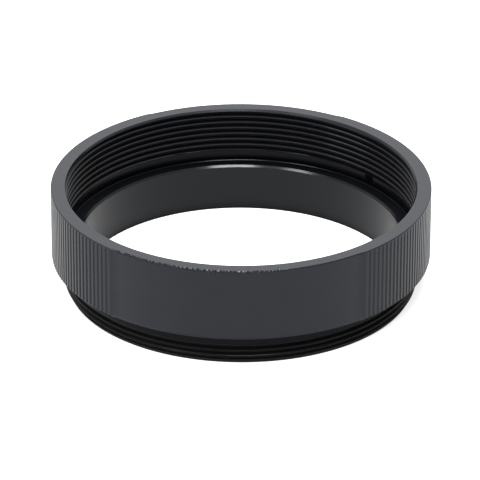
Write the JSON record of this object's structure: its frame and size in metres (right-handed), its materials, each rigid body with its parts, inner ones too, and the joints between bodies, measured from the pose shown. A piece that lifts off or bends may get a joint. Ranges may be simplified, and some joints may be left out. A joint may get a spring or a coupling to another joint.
{
  "type": "threaded extension ring",
  "caption": "Short threaded extension ring for telescope accessories, with a female thread in a knurled grip band, a male thread below and a clear bore.",
  "frame": {"origin": "on the optical axis, at the end face of the male thread", "axes": "+Z along the optical axis, from the male thread to the female thread; the wider grip panel faces -Y"},
  "size_m": [0.06, 0.0596, 0.017],
  "materials": {
    "satin_anodised": "satin dark grey anodised",
    "black_anodised": "black anodised, glossy on the thread and matt in the bore"
  },
  "bodies": {
    "root": {"grip_ring": "satin_anodised", "threaded_sleeve": "black_anodised"}
  },
  "joints": []
}
